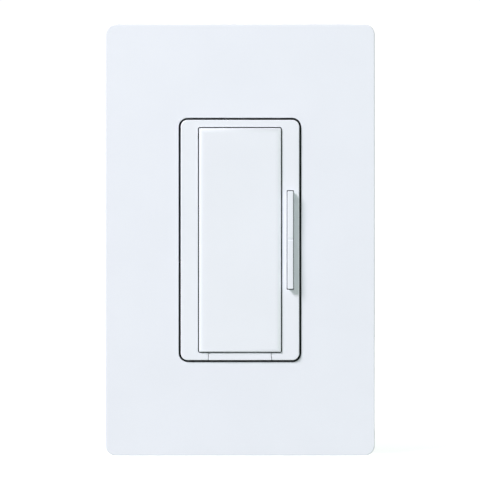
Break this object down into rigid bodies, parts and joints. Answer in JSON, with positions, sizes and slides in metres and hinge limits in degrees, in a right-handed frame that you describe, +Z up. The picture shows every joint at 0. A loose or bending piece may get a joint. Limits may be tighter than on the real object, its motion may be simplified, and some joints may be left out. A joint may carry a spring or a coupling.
{
  "type": "wall dimmer switch",
  "caption": "Wall-box dimmer with a tap paddle, a narrow dimming rocker, a pull-out service switch and a screwless plate.",
  "frame": {"origin": "on the wall's surface, midway between the two box screws", "axes": "+X right as seen from the room, +Y into the wall along the box screws, +Z up"},
  "size_m": [0.0746, 0.041, 0.1194],
  "materials": {
    "plate_white": "satin moulded polycarbonate",
    "face_white": "satin moulded polycarbonate",
    "inner_white": "moulded, unpolished",
    "carrier_grey": "moulded, unpolished",
    "aluminium": "stamped sheet",
    "zinc_steel": "zinc plated",
    "brass": "bright brass",
    "copper": "copper",
    "silver": "silver contact tip",
    "tinned_metal": "tinned copper",
    "green_paint": "green dyed zinc plate",
    "dark_cover": "moulded thermoset, fine texture",
    "fibre": "vulcanised fibre",
    "board_green": "solder mask on glass epoxy",
    "black_epoxy": "moulded epoxy",
    "switch_plunger": "moulded",
    "silicone": "silicone pad",
    "core_coat": "epoxy-coated powdered iron",
    "film_yellow": "moulded box",
    "can_sleeve": "shrink sleeve",
    "varistor_blue": "dipped epoxy",
    "resistor_tan": "lacquer"
  },
  "bodies": {
    "housing": {"wall_plate": "plate_white", "plate_adapter": "inner_white", "adapter_screws": "zinc_steel", "bezel": "face_white", "button_carrier": "carrier_grey", "yoke": "aluminium", "box_screws": "zinc_steel", "screw_retainers": "fibre", "ground_screw": "green_paint", "fixed_tips": "silver", "fixed_contacts": "brass", "insulator_sheet": "fibre", "control_board": "board_green", "tap_switch_body": "black_epoxy", "rocker_switch_bodies": "black_epoxy", "controller_chip": "black_epoxy", "board_header": "black_epoxy", "power_board": "board_green", "triac_tab": "tinned_metal", "triac_body": "black_epoxy", "triac_pad": "silicone", "triac_screw": "zinc_steel", "choke_core": "core_coat", "choke_winding": "copper", "film_capacitor": "film_yellow", "supply_capacitor": "can_sleeve", "surge_varistor": "varistor_blue", "fuse_resistor": "resistor_tan", "bridge_rectifier": "black_epoxy", "back_cover": "dark_cover", "cover_screws": "zinc_steel", "terminal_plates": "brass", "wire_clamps": "zinc_steel", "line_terminal_screw": "brass", "load_terminal_screw": "brass", "remote_terminal_screw": "brass"},
    "paddle": {"tap_paddle": "face_white"},
    "tap_plunger": {"tap_switch_plunger": "switch_plunger"},
    "rocker": {"dimming_rocker": "face_white"},
    "raise_plunger": {"raise_switch_plunger": "switch_plunger"},
    "lower_plunger": {"lower_switch_plunger": "switch_plunger"},
    "service_pull": {"service_tab": "face_white", "air_gap_blade": "copper", "blade_tips": "silver"}
  },
  "joints": [
    {"name": "paddle_press", "type": "hinge", "parent": "housing", "child": "paddle", "pos_m": [0, -0.005, 0.0289], "axis": [1, 0, 0], "range_deg": [0, 0.8], "stiffness_Nm_per_rad": 1, "springref_deg": -2.01},
    {"name": "tap_plunger_press", "type": "slide", "parent": "housing", "child": "tap_plunger", "axis": [0, 1, 0], "range_m": [0, 0.0004]},
    {"name": "rocker_tilt", "type": "hinge", "parent": "housing", "child": "rocker", "pos_m": [0.01391, -0.005, 0], "axis": [1, 0, 0], "range_deg": [-1.7, 1.7], "stiffness_Nm_per_rad": 0.05},
    {"name": "raise_plunger_press", "type": "slide", "parent": "housing", "child": "raise_plunger", "axis": [0, 1, 0], "range_m": [-0.0003, 0.0003]},
    {"name": "lower_plunger_press", "type": "slide", "parent": "housing", "child": "lower_plunger", "axis": [0, 1, 0], "range_m": [-0.0003, 0.0003]},
    {"name": "service_slide", "type": "slide", "parent": "housing", "child": "service_pull", "axis": [0, -1, 0], "range_m": [0, 0.003]}
  ],
  "couplings": [
    {"joint": "tap_plunger_press", "follows": "paddle_press", "m_per_rad": 0.025},
    {"joint": "raise_plunger_press", "follows": "rocker_tilt", "m_per_rad": -0.01},
    {"joint": "lower_plunger_press", "follows": "rocker_tilt", "m_per_rad": 0.01}
  ]
}
